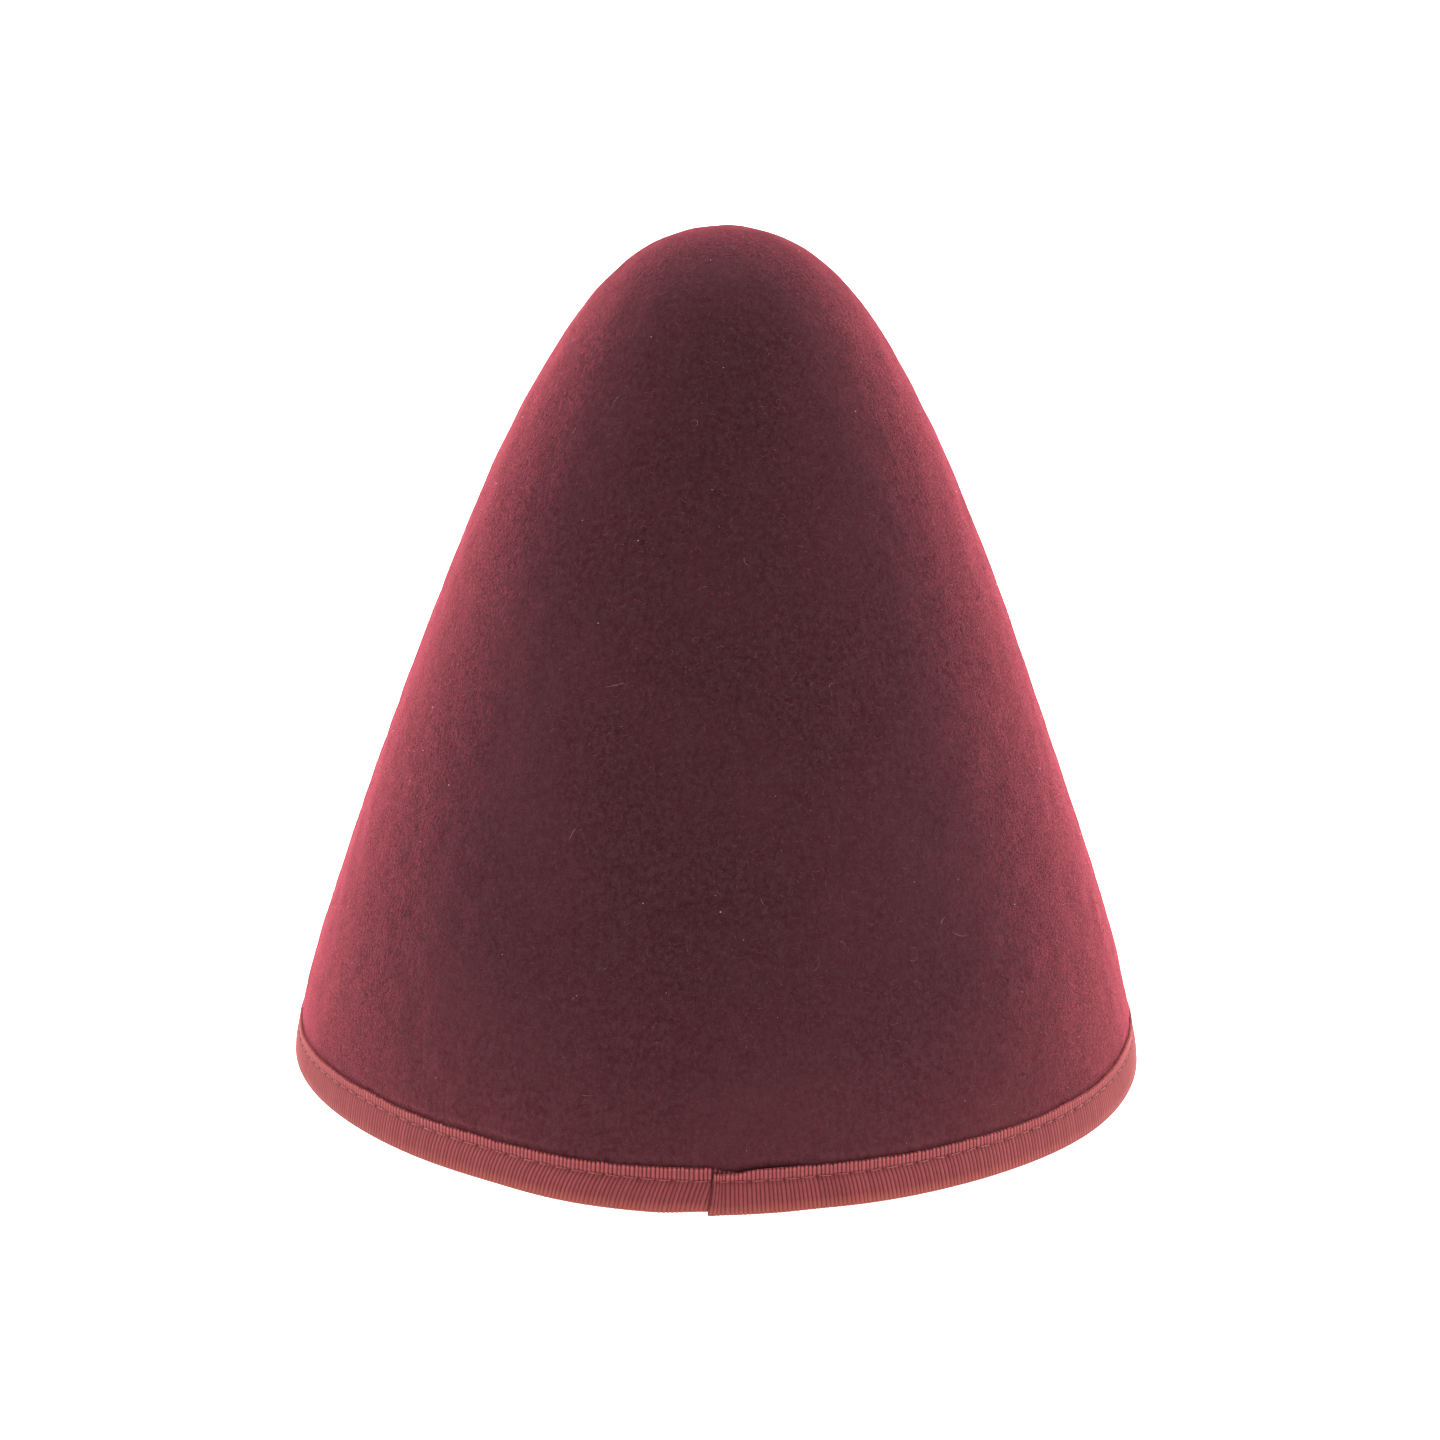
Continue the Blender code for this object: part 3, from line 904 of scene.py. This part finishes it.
def makeStitches():
    # short round threads bowed out between their two holes: a circle carried along the root of half a sine
    # wave, thinner at both ends
    draw = np.random.default_rng(9)
    count = int(stripLength / ribbon["stitchPitch"])
    share = np.linspace(0, 1, thread["segments"] + 1)[None, :]
    around = np.arange(thread["sides"]) * 2 * np.pi / thread["sides"]
    rings, sides = thread["segments"] + 1, thread["sides"]
    first = np.arange(thread["firstShown"], count)[:, None]
    number = len(first)
    points, faceSets, uvs = [], [], []
    offset = 0
    for side in (1, -1):
        half = 0.5 * thread["visible"] * draw.uniform(*thread["visibleStray"], (number, 1))
        way = (first + 0.5) * ribbon["stitchPitch"] + (2 * share - 1) * half
        turn, outset = stripPlace(way)[:2]
        tilt = draw.normal(0, thread["tilt"], (number, 1))
        bow = np.sin(np.pi * share) ** 0.5
        height = ribbon["stitchHeight"] + tilt * (share - 0.5) - thread["sag"] * (1 - bow)
        surface = outset + ribbon["thickness"] - ribbon["stitchGroove"]
        face = surface - thread["sink"] * (1 - bow) + (thread["arch"] + 0.5 * thread["radius"]) * bow
        angle = turn + np.degrees(ribShift(way, height) / hat["rimRadius"])
        size = (thread["radius"] * (thread["endSize"] + (1 - thread["endSize"]) * bow))[..., None]
        middle = face if side == 1 else -hat["feltThickness"] - face
        upward, outward = size * np.sin(around), size * np.cos(around)
        radius, level = feltSection(height[..., None] + upward, middle[..., None] + outward)
        grid = placeRibbon(radius, angle[..., None], level)
        quads = gridFaces(rings, sides, wrapRows=True)
        starts = offset + rings * sides * np.arange(number)[:, None]
        faceSets.append((quads[None] + starts[:, :, None]).reshape(-1, 4))
        ends = np.arange(sides)
        faceSets += [starts + ends[None, ::-1], starts + (rings - 1) * sides + ends[None]]
        points.append(grid.reshape(-1, 3))
        across = np.broadcast_to(np.arange(sides) / sides, grid.shape[:3])
        uvs.append(np.stack([way[..., None] + 0 * across, across], -1).reshape(-1, 2))
        offset += number * rings * sides
    uv = np.concatenate(uvs)
    makePiece("stitches", np.concatenate(points), faceSets, makeThreadMaterial(), uv)


makeFeltBody()
makeRibbon()
makeStitches()


# Loose fibres of the felt

fuzz = {
    "colour": (0.155, 0.046, 0.058),
    "count": 9800,
    "lowest": 0.0116,
    "length": (0.0006, 0.0018),
    "radius": 0.000030,
    "rise": 0.00018,
    "curl": 2.4,
    "segments": 3,
    "sides": 3,
}
hairs = {
    "colour": (0.46, 0.24, 0.24),
    "count": 60,
    "length": (0.0016, 0.0048),
    "radius": 0.000022,
    "rise": 0.0004,
    "curl": 2.2,
    "segments": 12,
    "sides": 5,
}
specks = {
    "colour": (0.80, 0.66, 0.62),
    "count": 130,
    "size": (0.00005, 0.00013),
    "stretch": (0.6, 1.6),
    "lowest": 0.012,
    "rise": 0.00006,
}
# How loose threads differ, as shares of their rise and radius, how much thinner they end, and their look.
looseThread = {
    "riseStray": (0.4, 1.6),
    "radiusStray": (0.6, 1.3),
    "tipThinner": 0.75,
    "leastBend": 0.2,
    "patchScale": 420.0,
    "patchRange": (0.35, 0.65),
    "dullShare": 0.45,
}


def feltPlaces(count, draw, lowest):
    # random places spread evenly over the felt's outer face: the height by the area below it, and the turn
    tipGap = 0.0002
    height = np.linspace(lowest, hat["height"] - tipGap, 400)
    radius, level = feltSection(height, 0 * height)
    bands = (radius[1:] + radius[:-1]) * np.hypot(np.diff(radius), np.diff(level))
    area = np.cumsum(np.append(0, bands))
    return np.interp(draw.uniform(0, area[-1], count), area, height), draw.uniform(-180, 180, count)


def feltFrame(height, turn):
    # a place on the felt with the directions along the rim, up the slope and out of the felt: two steps to
    # places nearby and their cross product
    nearby = 0.0001
    nearbyTurn = 0.05
    here = feltPoint(height, turn)
    higher = feltPoint(height + nearby, turn)
    beside = feltPoint(height, turn + nearbyTurn)
    up = higher - here
    along = beside - here
    up /= np.linalg.norm(up, axis=-1, keepdims=True)
    along /= np.linalg.norm(along, axis=-1, keepdims=True)
    out = np.cross(along, up)
    return here, along, up, out


def curledThreads(values, seed):
    # thin tubes that lie on the felt: each turns steadily along its length and rises to a low bow
    draw = np.random.default_rng(seed)
    count, rings = values["count"], values["segments"] + 1
    height, turn = feltPlaces(count, draw, fuzz["lowest"])
    here, along, up, out = (part[:, None, :] for part in feltFrame(height, turn))
    share = np.linspace(0, 1, rings)[None, :]
    length = draw.uniform(*values["length"], (count, 1))
    heading = draw.uniform(0, 2 * np.pi, (count, 1))
    bend = draw.normal(0, values["curl"], (count, 1))
    bend = np.where(np.abs(bend) < looseThread["leastBend"], looseThread["leastBend"], bend)
    across = (np.sin(heading + bend * share) - np.sin(heading)) / bend * length
    upward = (np.cos(heading) - np.cos(heading + bend * share)) / bend * length
    rise = values["rise"] * draw.uniform(*looseThread["riseStray"], (count, 1))
    rise = rise * np.sin(np.pi * (0.08 + 0.86 * share))
    middle = here + across[..., None] * along + upward[..., None] * up
    # follows the felt's curve sideways
    middle = middle - (across**2 / (2 * np.linalg.norm(here[..., :2], axis=-1)))[..., None] * out
    middle = middle + rise[..., None] * out
    ahead = np.gradient(middle, axis=1)
    ahead /= np.linalg.norm(ahead, axis=-1, keepdims=True)
    side = np.cross(ahead, out)
    side /= np.linalg.norm(side, axis=-1, keepdims=True)
    over = np.cross(side, ahead)
    size = values["radius"] * draw.uniform(*looseThread["radiusStray"], (count, 1))
    size = size * (1 - looseThread["tipThinner"] * share**2)
    angle = np.arange(values["sides"]) * 2 * np.pi / values["sides"] + np.pi / 2
    circle = side[:, :, None, :] * np.cos(angle)[:, None] + over[:, :, None, :] * np.sin(angle)[:, None]
    points = middle[:, :, None, :] + size[:, :, None, None] * circle
    quads = gridFaces(rings, values["sides"], wrapRows=True)[:, ::-1]
    starts = rings * values["sides"] * np.arange(count)[:, None]
    ends = np.arange(values["sides"])
    last = (rings - 1) * values["sides"] + ends
    tubes = (quads[None] + starts[:, :, None]).reshape(-1, 4)
    faces = [tubes, starts + ends[None], starts + last[None, ::-1]]
    return settle(points.reshape(-1, 3)), faces


def makeFibreMaterial(name, colour):
    # the colour and a duller one, mixed by a noise
    material, tree, shader = startMaterial(name, {
        "Roughness": 0.8, "Specular IOR Level": 0.1,
        "Sheen Weight": 0.4, "Sheen Roughness": 0.4, "Sheen Tint": (1.0, 0.16, 0.22, 1.0),
    })
    place = addNode(tree, "ShaderNodeTexCoord").outputs["Object"]
    patch = addNode(tree, "ShaderNodeTexNoise", {
        "Vector": place, "Scale": looseThread["patchScale"], "Detail": 1.0,
    }).outputs["Fac"]
    patch = between(tree, patch, *looseThread["patchRange"])
    dull = tuple(looseThread["dullShare"] * value for value in colour)
    patchy = mixColour(tree, patch, dull, colour)
    tree.links.new(patchy, shader.inputs["Base Color"])
    return material


def makeThreads(name, values, seed, materialName):
    # all the threads of one kind as one piece
    points, faces = curledThreads(values, seed)
    makePiece(name, points, faces, makeFibreMaterial(materialName, values["colour"]))


def makeSpecks():
    # dust: small eight-faced grains, each stretched at random along the rim, up the slope and out
    draw = np.random.default_rng(5)
    count = specks["count"]
    height, turn = feltPlaces(count, draw, specks["lowest"])
    here, along, up, out = feltFrame(height, turn)
    size = draw.uniform(*specks["size"], (count, 1)) * draw.uniform(*specks["stretch"], (count, 3))
    corners = np.array([[1, 0, 0], [0, 1, 0], [-1, 0, 0], [0, -1, 0], [0, 0, 1], [0, 0, -1]])
    shape = corners[None] * size[:, None, :]
    middle = here + out * specks["rise"]
    points = middle[:, None] + shape[..., :1] * along[:, None]
    points = points + shape[..., 1:2] * up[:, None] + shape[..., 2:] * out[:, None]
    triangles = [[0, 1, 4], [1, 2, 4], [2, 3, 4], [3, 0, 4], [1, 0, 5], [2, 1, 5], [3, 2, 5], [0, 3, 5]]
    faces = (np.array(triangles)[None] + 6 * np.arange(count)[:, None, None]).reshape(-1, 3)
    material = makeFibreMaterial("dust", specks["colour"])
    makePiece("dust_specks", settle(points.reshape(-1, 3)), [faces], material)


makeThreads("felt_fuzz", fuzz, 21, "feltFuzz")
makeThreads("stray_hairs", hairs, 34, "paleHair")
makeSpecks()


# Camera, floor and light

camera = {
    "target": Vector((0, 0, 0.10085)),
    "distance": 1.412,
    "elevation": 18.28,
    "aimLower": 0.843,
    "roll": 0.654,
    "lens": 158.34,
}


def makeCamera():
    # stands off its target by the elevation, aims lower by aimLower and is turned about its aim by the roll
    elevation = np.radians(camera["elevation"])
    place = camera["target"] + camera["distance"] * Vector((0, -np.cos(elevation), np.sin(elevation)))
    aim = np.radians(camera["elevation"] + camera["aimLower"])
    back = Vector((0, -np.cos(aim), np.sin(aim)))
    up = Vector((0, np.sin(aim), np.cos(aim)))
    right = Vector((1, 0, 0))
    roll = np.radians(camera["roll"])
    rolledRight = np.cos(roll) * right + np.sin(roll) * up
    rolledUp = np.cos(roll) * up - np.sin(roll) * right
    data = bpy.data.cameras.new("camera")
    data.lens = camera["lens"]
    data.sensor_width = 36.0
    data.clip_start = 0.05
    item = bpy.data.objects.new("camera", data)
    turned = Matrix((rolledRight, rolledUp, back)).transposed().to_4x4()
    item.matrix_world = Matrix.Translation(place) @ turned
    bpy.context.scene.collection.objects.link(item)
    bpy.context.scene.camera = item


studio = {
    "floorSize": 60.0,
    "floorColour": (0.92, 0.92, 0.92),
    "floorGlow": 1.5,
    "worldColour": (1.0, 1.0, 1.0),
    "worldStrength": 0.10,
    "lightTarget": (0.0, 0.0, 0.09),
    "lights": [
        {
            "name": "left", "place": (-1.3, 0.35, 0.55), "size": (0.9, 1.6),
            "power": 27.5, "colour": (1.0, 0.87, 0.86),
        },
        {
            "name": "right", "place": (1.3, 0.35, 0.55), "size": (0.9, 1.6),
            "power": 28.8, "colour": (1.0, 0.87, 0.86),
        },
        {
            "name": "front", "place": (0.0, -1.6, 1.05), "size": (1.4, 1.0),
            "power": 6.4, "colour": (1.0, 1.0, 1.0),
        },
        {
            "name": "above", "place": (0.0, 0.75, 1.5), "size": (1.2, 1.2),
            "power": 66, "colour": (1.0, 1.0, 1.0),
        },
    ],
}


def makeStudio():
    # a white floor that glows, a faint world and area lights turned to their target
    bpy.ops.mesh.primitive_plane_add(size=studio["floorSize"])
    floor = bpy.context.object
    floor.name = "floor"
    material = startMaterial("studioFloor", {
        "Base Color": (*studio["floorColour"], 1), "Roughness": 0.9, "Specular IOR Level": 0.0,
        "Emission Color": (1, 1, 1, 1), "Emission Strength": studio["floorGlow"],
    })[0]
    floor.data.materials.append(material)
    world = bpy.data.worlds.new("studio")
    world.use_nodes = True
    background = world.node_tree.nodes["Background"]
    background.inputs["Color"].default_value = (*studio["worldColour"], 1)
    background.inputs["Strength"].default_value = studio["worldStrength"]
    bpy.context.scene.world = world
    for row in studio["lights"]:
        data = bpy.data.lights.new(row["name"], "AREA")
        data.shape = "RECTANGLE"
        data.size, data.size_y = row["size"]
        data.energy = row["power"]
        data.color = row["colour"]
        item = bpy.data.objects.new(row["name"], data)
        item.location = row["place"]
        toHat = Vector(studio["lightTarget"]) - item.location
        item.rotation_euler = toHat.to_track_quat("-Z", "Y").to_euler()
        bpy.context.scene.collection.objects.link(item)
    bpy.context.scene.view_settings.view_transform = "Standard"


makeCamera()
makeStudio()
print("camera, floor and light placed")
